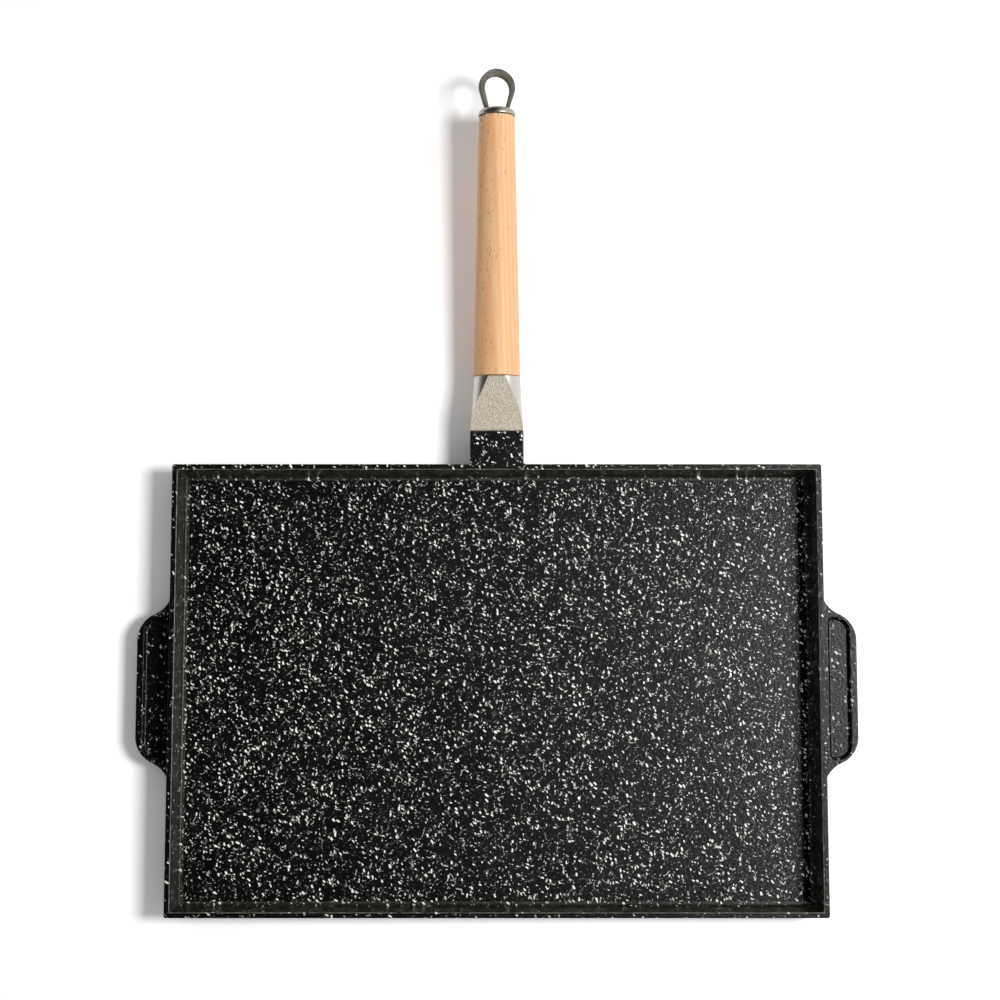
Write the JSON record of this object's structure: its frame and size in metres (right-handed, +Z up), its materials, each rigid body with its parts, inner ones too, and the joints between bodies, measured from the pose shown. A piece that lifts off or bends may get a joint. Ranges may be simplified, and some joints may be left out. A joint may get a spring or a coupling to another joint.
{
  "type": "double griddle pan",
  "caption": "Shallow rectangular cast griddle pan with a smooth speckled non-stick floor, dished side lugs, and a long wooden handle on a metal ferrule with a screw-on hanging loop.",
  "frame": {"origin": "centre of the tray's flat underside, on the surface the pan stands on", "axes": "+X along the tray's long side, +Y towards the handle, +Z up out of the tray"},
  "size_m": [0.4982, 0.5887, 0.0488],
  "materials": {
    "speckled_coating": "matt black non-stick coating with white flecks, on die-cast aluminium",
    "bare_casting": "bare cast aluminium, shot-blasted facets and smooth round sides",
    "beech": "turned beech, lightly oiled",
    "dark_casting": "dull grey casting",
    "plated_steel": "zinc-plated steel",
    "spring_steel": "dark spring steel"
  },
  "bodies": {
    "pan": {"pan_casting": "speckled_coating", "ferrule": "bare_casting", "handle_grip": "beech", "tie_rod": "plated_steel"},
    "washer": {"spring_washer": "spring_steel"},
    "loop": {"hanging_loop": "dark_casting"}
  },
  "joints": [
    {"name": "loop_travel", "type": "slide", "parent": "pan", "child": "washer", "axis": [0, 0.9976, 0.0698], "range_m": [0, 0.01]},
    {"name": "loop_turn", "type": "hinge", "parent": "washer", "child": "loop", "pos_m": [0, 0.178, 0.02], "axis": [0, 0.9976, 0.0698], "range_deg": [0, 3600]}
  ],
  "couplings": [
    {"joint": "loop_travel", "follows": "loop_turn", "m_per_rad": 0.00015915}
  ]
}
